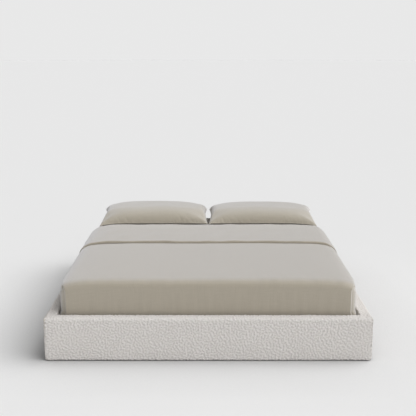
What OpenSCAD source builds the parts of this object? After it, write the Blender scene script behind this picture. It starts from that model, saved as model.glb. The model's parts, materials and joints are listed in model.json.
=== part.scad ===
// Low upholstered platform bed for a king-size mattress, made up with bedding and two king pillows.
// Four fabric-covered rails are bolted into a rectangle at their inside corners.  Ledgers and a
// centre beam on three legs carry the slats, and the mattress drops into the well above them.
// +X is to the right seen from the foot, +Y is towards the head, +Z is up, and z = 0 is the floor.

/* [Mattress] */
// Width of the mattress with its fitted sheet on
mattress_w = 1930; // [1800:10:1980]
// Length of the mattress with its fitted sheet on
mattress_l = 2030; // [1980:10:2100]
// Height of the mattress with its fitted sheet on
mattress_h = 284; // [240:2:320]
// Radius of the mattress corners seen from above
mattress_corner_r = 60; // [40:5:80]
// Radius of the mattress's top edges
mattress_edge_r = 55; // [20:5:60]
// Height of the softer foam layer on top of the mattress
comfort_h = 80; // [40:5:120]

/* [Rails] */
// Space between the mattress and the rails, where the bedding is tucked in
tuck_gap = 30; // [24:1:45]
// Thickness of an upholstered rail
rail_t = 75; // [70:1:90]
// Height of the top of the rails above the floor
rail_top = 291; // [280:1:320]
// Height of the underside of the rails above the floor
floor_gap = 12; // [8:1:20]
// Radius of the rails' top edges and outer corners
edge_r = 14; // [12:1:20]
// Thickness of the boucle cover
fabric_t = 4; // [2:0.5:5]
// Thickness of the foam over the outer face, top and ends of a rail
foam_t = 10; // [8:1:14]

/* [Mattress support] */
// Number of slats
slat_count = 12; // [12:1:12]
// Width of a slat
slat_w = 100; // [80:5:110]
// Thickness of a slat
slat_t = 19; // [16:1:22]
// Height of the ledgers' top, which the slats lie on
ledger_top = 187; // [180:1:195]
// Number of legs under the centre beam
leg_count = 3; // [3:1:3]

/* [Bedding] */
// Thickness of the coverlet where it lies on the mattress
coverlet_t = 30; // [15:1:40]
// Extra thickness of the turned-down band near the head
band_t = 21; // [10:1:30]
// Distance from the bed's middle to the front edge of the turned-down band
band_front = -70; // [-300:10:200]
// Distance from the bed's middle to the rear edge of the coverlet
coverlet_rear = 530; // [400:10:530]
// Length of a king pillow
pillow_l = 914; // [860:2:920]
// Depth of a king pillow
pillow_d = 508; // [480:2:520]
// Height of a pillow at its crown
pillow_h = 165; // [140:5:180]
// Space between the two pillows
pillow_gap = 22; // [10:1:40]

/* [Hidden] */
$fn = 48;

// Rounding steps of the pillows' hulls
hull_fn = 32;
// Amount that a cutting shape runs past the surface it cuts
over = 1;
// Radial clearance of a screw or bolt in its hole
hole_gap = 0.1;

// The well between the rails, and the whole bed
open_w = mattress_w + 2 * tuck_gap;
open_l = mattress_l + 2 * tuck_gap;
bed_w = open_w + 2 * rail_t;
bed_l = open_l + 2 * rail_t;
joint_gap = 0.5;
side_len = open_l - 2 * joint_gap;

// A rail's core: two plywood panels on a softwood ladder frame
rail_h = rail_top - floor_gap;
core_t = rail_t - 2 * fabric_t - foam_t;
core_h = rail_h - 2 * fabric_t - foam_t;
core_y = fabric_t + foam_t;
core_z = floor_gap + fabric_t;
panel_t = 9;
ladder_t = core_t - 2 * panel_t;
batten = 40;
end_stud = 130;
mid_stud = 110;
bay_count = 4;
slot_w = 32;
slot_end = 30;

// Ledgers along the rails' inner faces
ledger_t = 35;
ledger_h = 40;
ledger_z = ledger_top - ledger_h;
ledger_end = 2;
ledger_mid = 55;
side_screws = 6;
end_screws = 3;

// Corner brackets, their bolts and the inserts that the bolts turn into
bracket_leg = 60;
bracket_t = 4;
bracket_z = 40;
bracket_h = 100;
bolt_off = 38;
bolt_heights = [65, 115];
bolt_r = 4;
bolt_len = 40;
bolt_head_r = 7.5;
bolt_head_h = 5.3;
bolt_clear = 0.5;
insert_r = 6;
insert_len = 25;

// Wood screws
screw_r = 2.5;
screw_head_r = 5;
screw_head_h = 3;
ledger_screw_len = 70;
hanger_screw_len = 40;
glide_screw_len = 33;
slat_screw_len = 42;
leg_screw_len = 12;

// Centre beam, its hangers and its legs
beam_w = 40;
beam_h = 60;
beam_wall = 2;
beam_z = ledger_top - beam_h;
hanger_w = 100;
hanger_t = 4;
hanger_cheek = 3;
hanger_reach = 50;
hanger_play = 0.5;
hanger_screw_x = 38;
hanger_screw_z = [beam_z + 8, ledger_top - 15];
leg_r = 19;
leg_wall = 2;
leg_plate = [40, 96, 4];
leg_z = 10;
leg_plug_h = 20;
leg_pitch = 560;
leg_screw_y = 35;
leg_screw_r = 3;
foot_r = 20;
foot_h = 9.5;
stem_r = 5;
stem_h = 52;
stem_gap = 0.05;

// Slats
slat_len = open_w - 16;
slat_inset = 20;
slat_pitch = (open_l - 2 * slat_inset - slat_w) / (slat_count - 1);
slat_screw_x = open_w / 2 - 23;
slat_screw_r = 2;
slat_top = ledger_top + slat_t;
webbing_w = 25;
webbing_t = 1.5;
webbing_x = 480;

// Glides under the rails
glide_r = 14;
glide_recess = 5;
glide_x = 1000 / 2140 * bed_w;

// Mattress and bedding
rest_gap = 0.4;
mattress_z = slat_top + rest_gap;
mattress_top = mattress_z + mattress_h;
sheet_t = 2;
sheet_hem = 120;
ticking_t = 4;
layer_gap = 0.3;
ticking_out = sheet_t + layer_gap;
ticking_in = ticking_out + ticking_t;
foam_in = ticking_in + layer_gap;
coverlet_side = tuck_gap - 2;
coverlet_foot = 12;
coverlet_edge_r = 50;
skirt_z = mattress_z + 16;
pillow_y = 755 / 1015 * mattress_l / 2;
pillow_x = (pillow_gap + pillow_l) / 2;
pillow_z = mattress_top + 0.3;
pillow_flat = [680, 330];
pillow_seam_h = 12;
case_t = 2;

// Colours
boucle = [0.78, 0.76, 0.73];
pine = [0.80, 0.67, 0.48];
birch = [0.84, 0.74, 0.57];
upholstery_foam = [0.93, 0.90, 0.80];
steel = [0.62, 0.63, 0.65];
black_steel = [0.16, 0.16, 0.17];
white_cotton = [0.90, 0.89, 0.87];
taupe_linen = [0.66, 0.62, 0.55];
dark_plastic = [0.20, 0.20, 0.21];

// ---- Shapes that repeat ----

// Rectangle standing on the x axis, with its two top corners round
module arch_profile(w, h, r) {
    square([w, h - r]);
    translate([r, 0]) square([w - 2 * r, h]);
    for (x = [r, w - r]) translate([x, h - r]) circle(r = r);
}

// Rectangle centred on the origin, with four round corners
module round_rect(w, l, r) {
    square([w - 2 * r, l], center = true);
    square([w, l - 2 * r], center = true);
    for (x = [-1, 1], y = [-1, 1])
        translate([x * (w / 2 - r), y * (l / 2 - r)]) circle(r = r);
}

// Bar along x, centred, from y = 0 to y = t, with round top edges; its two
// outer upright corners, at y = 0, are round too when round_ends is true
module rail_bar(len, t, z0, h, r, round_ends) {
    intersection() {
        translate([-len / 2, 0, z0])
            rotate([90, 0, 90]) linear_extrude(len) arch_profile(t, h, r);
        translate([-len / 2, t, z0 - over])
            mirror([0, 1, 0])
            linear_extrude(h + 2 * over)
            if (round_ends) arch_profile(len, t, r);
            else square([len, t]);
    }
}

// Slab with round upright corners, from z0 up
module slab(w, l, r, z0, h) {
    translate([0, 0, z0]) linear_extrude(h) round_rect(w, l, r);
}

// Screw or bolt pointing down: its head stands on z = 0
module fixing(len, r, head_r, head_h, head_fn) {
    translate([0, 0, -len]) cylinder(r = r, h = len);
    cylinder(r = head_r, h = head_h, $fn = head_fn);
}

module screw(len) fixing(len, screw_r, screw_head_r, screw_head_h, $fn);

// Hole for a fixing of that length and radius
module fixing_hole(len, r) {
    translate([0, 0, -len]) cylinder(r = r, h = len + over);
}

// ---- Places, each with its local +z pointing into the well ----

module on_end_rail(x, side, z) {
    translate([x, side * open_l / 2, z]) rotate([90 * side, 0, 0]) children();
}

module on_side_rail(side, y, z) {
    translate([side * open_w / 2, y, z]) rotate([0, -90 * side, 0]) children();
}

module bolt_places() {
    for (sx = [-1, 1], sy = [-1, 1], z = bolt_heights) {
        on_end_rail(sx * (open_w / 2 - bolt_off), sy, z) children();
        on_side_rail(sx, sy * (open_l / 2 - bolt_off), z) children();
    }
}

module ledger_screw_places() {
    for (i = [0:side_screws - 1], side = [-1, 1])
        on_side_rail(side, (i + 0.5 - side_screws / 2) * open_l / (side_screws - 0.2), ledger_z + 20)
            children();
    for (i = [0:end_screws - 1], sx = [-1, 1], side = [-1, 1])
        on_end_rail(sx * (ledger_mid + 120 + i * (open_w / 2 - 290) / (end_screws - 1)), side, ledger_z + 20)
            children();
}

module hanger_screw_places() {
    for (x = [-1, 1], side = [-1, 1], z = hanger_screw_z)
        on_end_rail(x * hanger_screw_x, side, z) children();
}

module slat_screw_places() {
    for (i = [0:slat_count - 1], x = [-1, 1])
        translate([x * slat_screw_x, slat_y(i), slat_top - screw_head_h]) children();
}

// Under the middle of each rail's core
module glide_places() {
    mid = rail_t / 2 - core_y - core_t / 2;
    for (side = [-1, 1]) {
        for (x = [-1, 0, 1])
            translate([x * glide_x, side * (bed_l / 2 - rail_t / 2 + mid), 0]) children();
        translate([side * (bed_w / 2 - rail_t / 2 + mid), 0, 0]) children();
    }
}

module leg_screw_places() {
    for (i = [0:leg_count - 1], y = [-1, 1])
        translate([0, leg_y(i) + y * leg_screw_y, beam_z - leg_plate[2]]) rotate([180, 0, 0]) children();
}

function slat_y(i) = -open_l / 2 + slat_inset + slat_w / 2 + i * slat_pitch;
function leg_y(i) = (i - (leg_count - 1) / 2) * leg_pitch;

// ---- The four rails ----

// Puts a rail drawn along x, with its outer face at y = 0, on its side of the bed
module at_foot() translate([0, -bed_l / 2, 0]) children();
module at_head() translate([0, bed_l / 2, 0]) rotate([0, 0, 180]) children();
module at_left() translate([-bed_w / 2, 0, 0]) rotate([0, 0, -90]) children();
module at_right() translate([bed_w / 2, 0, 0]) rotate([0, 0, 90]) children();

// Length of a rail's core: the foam wraps the ends of the foot and head rails only
function core_len(len, ends) = len - 2 * fabric_t - (ends ? 2 * foam_t : 0);

// Softwood ladder: battens along the bottom, behind the ledger and along the top
module rail_ladder(len, ends) {
    l = core_len(len, ends);
    bay = (l - 2 * end_stud - (bay_count - 1) * mid_stud) / bay_count;
    low = core_z + batten;
    high = core_z + core_h - batten;
    color(pine)
    translate([0, core_y + panel_t, 0])
    difference() {
        translate([-l / 2, 0, core_z]) cube([l, ladder_t, core_h]);
        for (i = [0:bay_count - 1]) {
            x = -l / 2 + end_stud + i * (bay + mid_stud);
            translate([x, -over, low]) cube([bay, ladder_t + 2 * over, ledger_z - low]);
            translate([x, -over, ledger_top]) cube([bay, ladder_t + 2 * over, high - ledger_top]);
        }
    }
}

// Outer and inner plywood faces
module rail_panels(len, ends) {
    l = core_len(len, ends);
    color(birch)
    for (y = [core_y, core_y + core_t - panel_t])
        translate([-l / 2, y, core_z]) cube([l, panel_t, core_h]);
}

// Foam over the outer face and the top, and round the ends where they show
module rail_foam(len, ends) {
    l = core_len(len, ends);
    color(upholstery_foam)
    difference() {
        translate([0, fabric_t, 0])
            rail_bar(len - 2 * fabric_t, rail_t - 2 * fabric_t, core_z,
                     core_h + foam_t, edge_r - fabric_t, ends);
        translate([-l / 2, core_y, core_z - over]) cube([l, core_t + over, core_h + over]);
    }
}

// Boucle sleeve, turned under along both bottom edges
module rail_cover(len, ends) {
    color(boucle)
    difference() {
        rail_bar(len, rail_t, floor_gap, rail_h, edge_r, ends);
        translate([0, fabric_t, 0])
            rail_bar(len - 2 * fabric_t, rail_t - 2 * fabric_t, core_z,
                     core_h + foam_t, edge_r - fabric_t, ends);
        translate([-len / 2 + slot_end, core_y + core_t / 2 - slot_w / 2, floor_gap - over])
            cube([len - 2 * slot_end, slot_w, fabric_t + 2 * over]);
    }
}

// Every hole that a fixing makes in a rail
module rail_holes() {
    bolt_places() fixing_hole(bolt_len, bolt_r + bolt_clear);
    ledger_screw_places() fixing_hole(ledger_screw_len - ledger_t, screw_r + hole_gap);
    hanger_screw_places() fixing_hole(hanger_screw_len - hanger_t, screw_r + hole_gap);
}

module insert_holes() {
    bolt_places() translate([0, 0, -fabric_t - panel_t - insert_len])
        cylinder(r = insert_r + hole_gap, h = insert_len + hole_gap);
    glide_places() cylinder(r = screw_r + hole_gap, h = glide_recess + glide_screw_len);
}

module foot_rail_frame() difference() {
    at_foot() rail_ladder(bed_w, true);
    rail_holes();
    insert_holes();
}
module foot_rail_panels() difference() {
    at_foot() rail_panels(bed_w, true);
    rail_holes();
}
module foot_rail_foam() at_foot() rail_foam(bed_w, true);
module foot_rail_cover() difference() {
    at_foot() rail_cover(bed_w, true);
    rail_holes();
}

module head_rail_frame() difference() {
    at_head() rail_ladder(bed_w, true);
    rail_holes();
    insert_holes();
}
module head_rail_panels() difference() {
    at_head() rail_panels(bed_w, true);
    rail_holes();
}
module head_rail_foam() at_head() rail_foam(bed_w, true);
module head_rail_cover() difference() {
    at_head() rail_cover(bed_w, true);
    rail_holes();
}

module left_rail_frame() difference() {
    at_left() rail_ladder(side_len, false);
    rail_holes();
    insert_holes();
}
module left_rail_panels() difference() {
    at_left() rail_panels(side_len, false);
    rail_holes();
}
module left_rail_foam() at_left() rail_foam(side_len, false);
module left_rail_cover() difference() {
    at_left() rail_cover(side_len, false);
    rail_holes();
}

module right_rail_frame() difference() {
    at_right() rail_ladder(side_len, false);
    rail_holes();
    insert_holes();
}
module right_rail_panels() difference() {
    at_right() rail_panels(side_len, false);
    rail_holes();
}
module right_rail_foam() at_right() rail_foam(side_len, false);
module right_rail_cover() difference() {
    at_right() rail_cover(side_len, false);
    rail_holes();
}

// ---- Corner joints ----

// Steel angle in each inside corner, two bolts through each leg
module corner_brackets() color(steel) difference() {
    for (sx = [-1, 1], sy = [-1, 1])
        scale([sx, sy, 1]) translate([open_w / 2, open_l / 2, bracket_z]) {
            translate([-bracket_leg, -bracket_t, 0]) cube([bracket_leg, bracket_t, bracket_h]);
            translate([-bracket_t, -bracket_leg, 0]) cube([bracket_t, bracket_leg, bracket_h]);
        }
    bolt_places() translate([0, 0, -over]) cylinder(r = bolt_r + bolt_clear, h = bracket_t + 2 * over);
}

module bracket_bolts() color(black_steel)
    bolt_places() translate([0, 0, bracket_t]) fixing(bolt_len, bolt_r, bolt_head_r, bolt_head_h, 6);

// Threaded sleeves that sit in the ladders' end studs
module threaded_inserts() color(steel)
    bolt_places() translate([0, 0, -fabric_t - panel_t - insert_len]) difference() {
        cylinder(r = insert_r, h = insert_len);
        translate([0, 0, -over]) cylinder(r = bolt_r + stem_gap, h = insert_len + 2 * over);
    }

// ---- Ledgers ----

module side_ledger(side) color(pine) difference() {
    translate([side * (open_w - ledger_t) / 2, 0, ledger_z + ledger_h / 2])
        cube([ledger_t, open_l - 2 * ledger_end, ledger_h], center = true);
    ledger_screw_places() fixing_hole(ledger_screw_len, screw_r + hole_gap);
    ledger_screw_places() cylinder(r = screw_r + hole_gap, h = ledger_t + over);
    slat_screw_places() fixing_hole(slat_screw_len, slat_screw_r + hole_gap);
}
module left_ledger() side_ledger(-1);
module right_ledger() side_ledger(1);

// Two pieces, one on each side of the beam hanger
module end_ledgers(side) color(pine) difference() {
    for (sx = [-1, 1])
        scale([sx, side, 1])
            translate([ledger_mid, open_l / 2 - ledger_t, ledger_z])
            cube([open_w / 2 - ledger_t - ledger_end - ledger_mid, ledger_t, ledger_h]);
    ledger_screw_places() translate([0, 0, -over]) cylinder(r = screw_r + hole_gap, h = ledger_t + 2 * over);
}
module foot_ledgers() end_ledgers(-1);
module head_ledgers() end_ledgers(1);

module ledger_screws() color(steel)
    ledger_screw_places() translate([0, 0, ledger_t]) screw(ledger_screw_len);

// ---- Centre beam, hangers and legs ----

module centre_beam() {
    len = open_l - 2 * hanger_t - 2 * over;
    color(black_steel) difference() {
        translate([-beam_w / 2, -len / 2, beam_z]) cube([beam_w, len, beam_h]);
        translate([-beam_w / 2 + beam_wall, -len / 2 - over, beam_z + beam_wall])
            cube([beam_w - 2 * beam_wall, len + 2 * over, beam_h - 2 * beam_wall]);
        leg_screw_places() fixing_hole(leg_screw_len, leg_screw_r + hole_gap);
    }
}

// Back plate on the rail, with a cradle that the beam drops into
module beam_hanger(side) {
    inner = beam_w + 2 * hanger_play;
    outer = inner + 2 * hanger_cheek;
    color(steel) difference() {
        scale([1, side, 1]) translate([0, open_l / 2, beam_z - hanger_cheek]) {
            translate([-hanger_w / 2, -hanger_t, 0]) cube([hanger_w, hanger_t, beam_h + hanger_cheek]);
            translate([-outer / 2, -hanger_t - hanger_reach, 0])
                cube([outer, hanger_reach + over / 2, beam_h + hanger_cheek - over]);
        }
        scale([1, side, 1]) translate([-inner / 2, open_l / 2 - hanger_t - hanger_reach - over, beam_z])
            cube([inner, hanger_reach + over, beam_h + over]);
        hanger_screw_places() translate([0, 0, -over]) cylinder(r = screw_r + hole_gap, h = hanger_t + 2 * over);
    }
}
module beam_hanger_foot() beam_hanger(-1);
module beam_hanger_head() beam_hanger(1);

module hanger_screws() color(steel)
    hanger_screw_places() translate([0, 0, hanger_t]) screw(hanger_screw_len);

// Round tube with a top plate and a threaded plug in its lower end
module centre_leg(i) {
    plate_z = beam_z - leg_plate[2];
    color(black_steel) translate([0, leg_y(i), 0]) difference() {
        union() {
            translate([0, 0, leg_z]) cylinder(r = leg_r, h = plate_z - leg_z);
            translate([0, 0, plate_z + leg_plate[2] / 2]) cube(leg_plate, center = true);
        }
        translate([0, 0, leg_z + leg_plug_h])
            cylinder(r = leg_r - leg_wall, h = plate_z - leg_z - leg_plug_h);
        translate([0, 0, leg_z - over]) cylinder(r = stem_r + stem_gap, h = leg_plug_h + 2 * over);
        for (y = [-1, 1]) translate([0, y * leg_screw_y, plate_z - over])
            cylinder(r = leg_screw_r + hole_gap, h = leg_plate[2] + 2 * over);
    }
}
module centre_leg_1() centre_leg(0);
module centre_leg_2() centre_leg(1);
module centre_leg_3() centre_leg(2);

// Pad on a threaded stem that screws out of the leg to meet the floor
module levelling_foot(i) color(dark_plastic) translate([0, leg_y(i), 0]) {
    cylinder(r = foot_r, h = foot_h);
    translate([0, 0, foot_h]) cylinder(r = stem_r, h = stem_h);
}
module levelling_foot_1() levelling_foot(0);
module levelling_foot_2() levelling_foot(1);
module levelling_foot_3() levelling_foot(2);

module leg_screws() color(steel)
    leg_screw_places() fixing(leg_screw_len, leg_screw_r, screw_head_r, screw_head_h, $fn);

// ---- Slats ----

module slat(i) color(birch) difference() {
    translate([-slat_len / 2, slat_y(i) - slat_w / 2, ledger_top]) cube([slat_len, slat_w, slat_t]);
    for (x = [-1, 1]) translate([x * slat_screw_x, slat_y(i), 0]) {
        translate([0, 0, ledger_top - over])
            cylinder(r = slat_screw_r + hole_gap, h = slat_t + 2 * over);
        translate([0, 0, slat_top - screw_head_h])
            cylinder(r = screw_head_r + hole_gap, h = screw_head_h + over);
    }
}
module slat_01() slat(0);
module slat_02() slat(1);
module slat_03() slat(2);
module slat_04() slat(3);
module slat_05() slat(4);
module slat_06() slat(5);
module slat_07() slat(6);
module slat_08() slat(7);
module slat_09() slat(8);
module slat_10() slat(9);
module slat_11() slat(10);
module slat_12() slat(11);

// Two straps stapled under the slats, which keep their spacing
module slat_webbing() color(white_cotton)
    for (x = [-1, 1])
        translate([x * webbing_x - webbing_w / 2, -open_l / 2 + ledger_t + 5, ledger_top - webbing_t])
            cube([webbing_w, open_l - 2 * ledger_t - 10, webbing_t]);

module slat_screws() color(steel)
    slat_screw_places() fixing(slat_screw_len, slat_screw_r, screw_head_r, screw_head_h, $fn);

// ---- Glides ----

module rail_glides() color(dark_plastic)
    glide_places() difference() {
        cylinder(r = glide_r, h = core_z);
        translate([0, 0, -over]) cylinder(r = screw_r + hole_gap, h = core_z + 2 * over);
        translate([0, 0, -over]) cylinder(r = screw_head_r + hole_gap, h = glide_recess + over);
    }

module glide_screws() color(steel)
    glide_places() translate([0, 0, glide_recess]) rotate([180, 0, 0])
        screw(glide_screw_len);

// ---- Mattress ----

// Block with round upright corners and round top edges
module mattress_block(inset, z0, h) {
    w = mattress_w - 2 * inset;
    l = mattress_l - 2 * inset;
    intersection() {
        slab(w, l, mattress_corner_r - inset, z0, h);
        translate([-w / 2, l / 2 + over, z0]) rotate([90, 0, 0])
            linear_extrude(l + 2 * over) arch_profile(w, h, mattress_edge_r - inset);
        translate([-w / 2 - over, -l / 2, z0]) rotate([90, 0, 90])
            linear_extrude(w + 2 * over) arch_profile(l, h, mattress_edge_r - inset);
    }
}

module mattress_base_foam() color(upholstery_foam)
    slab(mattress_w - 2 * foam_in, mattress_l - 2 * foam_in, mattress_corner_r - foam_in,
         mattress_z + foam_in, mattress_h - 2 * foam_in - comfort_h);

module mattress_comfort_foam() color(white_cotton)
    mattress_block(foam_in, mattress_top - foam_in - comfort_h, comfort_h);

// Quilted cover, all round the foam
module mattress_cover() color(white_cotton) difference() {
    mattress_block(ticking_out, mattress_z + ticking_out, mattress_h - 2 * ticking_out);
    mattress_block(ticking_in, mattress_z + ticking_in, mattress_h - 2 * ticking_in);
}

// Sheet over the top and sides, turned under the mattress
module fitted_sheet() color(white_cotton) difference() {
    mattress_block(0, mattress_z, mattress_h);
    mattress_block(sheet_t, mattress_z + sheet_t, mattress_h - 2 * sheet_t);
    slab(mattress_w - 2 * sheet_hem, mattress_l - 2 * sheet_hem, sheet_t * 10,
         mattress_z - over, sheet_t + 2 * over);
}

// ---- Bedding ----

// Coverlet over the foot and sides, tucked down inside the rails, with its
// rear part turned back into a thicker band
module coverlet() {
    half_w = mattress_w / 2 + coverlet_side;
    front = -mattress_l / 2 - coverlet_foot;
    deep = coverlet_rear - front;
    color(taupe_linen) difference() {
        intersection() {
            union() {
                translate([-half_w, coverlet_rear, skirt_z]) rotate([90, 0, 0])
                    linear_extrude(deep)
                    arch_profile(2 * half_w, mattress_top + coverlet_t - skirt_z, coverlet_edge_r);
                translate([-half_w, coverlet_rear, skirt_z]) rotate([90, 0, 0])
                    linear_extrude(coverlet_rear - band_front)
                    arch_profile(2 * half_w, mattress_top + coverlet_t + band_t - skirt_z, coverlet_edge_r);
            }
            translate([-half_w, coverlet_rear, skirt_z - over])
                mirror([0, 1, 0])
                linear_extrude(mattress_h + coverlet_t + band_t)
                arch_profile(2 * half_w, deep, mattress_corner_r);
        }
        mattress_block(0, mattress_z - over, mattress_h + over);
    }
}

// Pillow shape: a seam all round at half height, flatter towards the top and bottom
module pillow_form(side, inset) {
    mid = pillow_z + pillow_h / 2;
    translate([side * pillow_x, pillow_y, 0]) hull() {
        translate([0, 0, mid - pillow_seam_h / 2]) linear_extrude(pillow_seam_h)
            round_rect(pillow_l - 2 * inset, pillow_d - 2 * inset, 20, $fn = hull_fn);
        translate([0, 0, pillow_z + inset]) linear_extrude(pillow_h - 2 * inset)
            round_rect(pillow_flat[0] - inset, pillow_flat[1] - inset, 90, $fn = hull_fn);
    }
}
module pillow_insert_left() color(white_cotton) pillow_form(-1, case_t);
module pillow_insert_right() color(white_cotton) pillow_form(1, case_t);
module pillowcase(side) color(taupe_linen) difference() {
    pillow_form(side, 0);
    pillow_form(side, case_t);
}
module pillowcase_left() pillowcase(-1);
module pillowcase_right() pillowcase(1);

// ---- Drawing ----

foot_rail_frame();
foot_rail_panels();
foot_rail_foam();
foot_rail_cover();
head_rail_frame();
head_rail_panels();
head_rail_foam();
head_rail_cover();
left_rail_frame();
left_rail_panels();
left_rail_foam();
left_rail_cover();
right_rail_frame();
right_rail_panels();
right_rail_foam();
right_rail_cover();
corner_brackets();
bracket_bolts();
threaded_inserts();
left_ledger();
right_ledger();
foot_ledgers();
head_ledgers();
ledger_screws();
centre_beam();
beam_hanger_foot();
beam_hanger_head();
hanger_screws();
centre_leg_1();
centre_leg_2();
centre_leg_3();
levelling_foot_1();
levelling_foot_2();
levelling_foot_3();
leg_screws();
slat_01();
slat_02();
slat_03();
slat_04();
slat_05();
slat_06();
slat_07();
slat_08();
slat_09();
slat_10();
slat_11();
slat_12();
slat_webbing();
slat_screws();
rail_glides();
glide_screws();
mattress_base_foam();
mattress_comfort_foam();
mattress_cover();
fitted_sheet();
coverlet();
pillow_insert_left();
pillow_insert_right();
pillowcase_left();
pillowcase_right();
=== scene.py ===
# %% [markdown]
# # An upholstered platform bed, made up for the night
#
# The bed is a low box of boucle-covered rails with a king mattress sunk into it. On the mattress lie a fitted
# sheet, a tucked-in linen coverlet whose head end is turned back into a band, and two pillows. The hard parts
# come ready-made as the CAD frame. This notebook gives them their finishes, and makes every piece of cloth as
# a surface of its own. We start by loading the frame.

# %% Load the frame
import json
import math

import bpy
import numpy as np
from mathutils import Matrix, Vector


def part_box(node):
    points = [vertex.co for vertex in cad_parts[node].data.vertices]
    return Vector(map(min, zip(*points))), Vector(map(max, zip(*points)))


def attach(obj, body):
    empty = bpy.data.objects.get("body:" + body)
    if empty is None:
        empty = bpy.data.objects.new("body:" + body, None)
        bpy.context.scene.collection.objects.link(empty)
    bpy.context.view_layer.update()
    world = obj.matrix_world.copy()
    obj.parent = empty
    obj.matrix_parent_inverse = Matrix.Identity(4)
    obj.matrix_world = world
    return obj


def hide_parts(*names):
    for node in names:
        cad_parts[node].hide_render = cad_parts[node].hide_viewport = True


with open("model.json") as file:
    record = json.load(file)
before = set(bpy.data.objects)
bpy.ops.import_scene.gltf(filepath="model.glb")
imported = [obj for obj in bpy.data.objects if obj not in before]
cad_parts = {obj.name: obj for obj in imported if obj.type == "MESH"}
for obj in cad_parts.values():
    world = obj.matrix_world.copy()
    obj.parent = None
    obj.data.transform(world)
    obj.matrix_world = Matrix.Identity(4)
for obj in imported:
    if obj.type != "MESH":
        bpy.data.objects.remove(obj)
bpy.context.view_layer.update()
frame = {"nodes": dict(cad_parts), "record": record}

scene = bpy.context.scene

# %% [markdown]
# ## Camera
#
# The bed is looked at from in front of its foot and from about two metres up, with a slightly long lens, so that
# the sides of the rails run together only a little. The camera is turned down rather than shifted, which keeps
# every other view of the bed square too.

# %% Camera
EYE = (-0.0018, -5.7263, 1.9921)
PITCH_DOWN = math.radians(11.88)
camera_data = bpy.data.cameras.new("camera")
camera_data.lens = 65.02
camera_data.sensor_width = 36.0
camera_data.clip_end = 400.0
camera = bpy.data.objects.new("camera", camera_data)
camera.location = EYE
camera.rotation_euler = (math.pi / 2 - PITCH_DOWN, 0, 0)
scene.collection.objects.link(camera)
scene.camera = camera
print("camera at", EYE, "pitched down", round(math.degrees(PITCH_DOWN), 2), "degrees")

# %% [markdown]
# ## Helpers for meshes
#
# Every cloth here is a surface: a grid of points worked out from two parameters. `weld` joins points of the
# grid that fall on each other, as at the seam of a tube, so that the mesh is closed there. `make_piece` puts the
# points into a mesh, turns the faces outwards, and keeps a UV map in metres of cloth, so that a weave drawn on it
# has the size of real thread.

# %% Mesh helpers
def weld(points, quads):
    """Points that round to the same 10 micrometres become one. A quad that loses one corner is a triangle, and
    one that loses more is dropped. Gives the points kept, the quads, the triangles, and the grid index of every
    face corner in the same order."""
    _, first, home = np.unique(np.round(points * 1e5).astype(np.int64), axis=0, return_index=True, return_inverse=True)
    faces = home.ravel()[quads]
    repeated = faces == np.roll(faces, -1, axis=1)
    lost = repeated.sum(axis=1)
    full, three = lost == 0, lost == 1
    triangles = faces[three][~repeated[three]].reshape(-1, 3)
    corners = np.concatenate([quads[full].ravel(), quads[three][~repeated[three]]])
    return points[first], faces[full], triangles, corners


def grid_quads(rows, columns, offset=0, wrap=False):
    """The quads between neighbouring rows and columns of a grid; wrap joins the last column to the first."""
    index = np.arange(rows * columns).reshape(rows, columns) + offset
    across = np.roll(index, -1, axis=1) if wrap else index[:, 1:]
    own = index if wrap else index[:, :-1]
    return np.stack([own[:-1], across[:-1], across[1:], own[1:]], axis=-1).reshape(-1, 4)


def make_piece(name, points, quads, uv=None, values=None, inside=None):
    """A mesh object from grid points and quads. inside is a point that the faces turn away from. values is a dict
    of attribute name to one number for each grid point."""
    kept, fours, threes, corners = weld(points, quads)
    centre = points.mean(axis=0) if inside is None else np.array(inside, float)
    a, b, c = (kept[fours[:, i]] - centre for i in (0, 1, 2))
    flip = np.einsum("ij,ij->", a, np.cross(b - a, c - a)) < 0
    way = slice(None, None, -1 if flip else 1)
    corners = np.concatenate([corners[:fours.size].reshape(-1, 4)[:, way].ravel(),
                              corners[fours.size:].reshape(-1, 3)[:, way].ravel()])
    mesh = bpy.data.meshes.new(name)
    mesh.from_pydata(kept.tolist(), [], fours[:, way].tolist() + threes[:, way].tolist())
    mesh.polygons.foreach_set("use_smooth", np.ones(len(mesh.polygons), bool))
    if uv is not None:
        mesh.uv_layers.new(name="cloth").data.foreach_set("uv", uv[corners].astype(np.float32).ravel())
    for key, grid_values in (values or {}).items():
        layer = mesh.attributes.new(key, "FLOAT", "CORNER")
        layer.data.foreach_set("value", grid_values[corners].astype(np.float32))
    mesh.validate()
    mesh.update()
    piece = bpy.data.objects.new(name, mesh)
    scene.collection.objects.link(piece)
    return piece


def triangles_of(piece):
    return sum(len(p.vertices) - 2 for p in piece.data.polygons)


# %% [markdown]
# ## Helpers for shape
#
# Cloth is never dead flat. `ripples` is a sum of long waves in seeded random directions: a few of them give the
# slow swell of a made bed, many short ones give creases. `ease` draws a smooth curve through a few given points,
# `step` is the usual soft step from 0 to 1, and `walk` measures along a line.

# %% Shape helpers
def step(x, start, end):
    """0 before start, 1 after end, 3t^2 - 2t^3 between."""
    t = np.clip((x - start) / (end - start), 0, 1)
    return t * t * (3 - 2 * t)


def ease(xs, ys):
    """A smooth curve through (x, y) points: each span is a cubic whose end slopes come from its neighbours."""
    xs, ys = np.array(xs, float), np.array(ys, float)
    slope = np.gradient(ys, xs)

    def at(x):
        x = np.clip(x, xs[0], xs[-1])
        i = np.clip(np.searchsorted(xs, x, side="right") - 1, 0, len(xs) - 2)
        h = xs[i + 1] - xs[i]
        t = (x - xs[i]) / h
        return ((2 * t**3 - 3 * t**2 + 1) * ys[i] + (t**3 - 2 * t**2 + t) * h * slope[i]
                + (3 * t**2 - 2 * t**3) * ys[i + 1] + (t**3 - t**2) * h * slope[i + 1])
    return at


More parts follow.
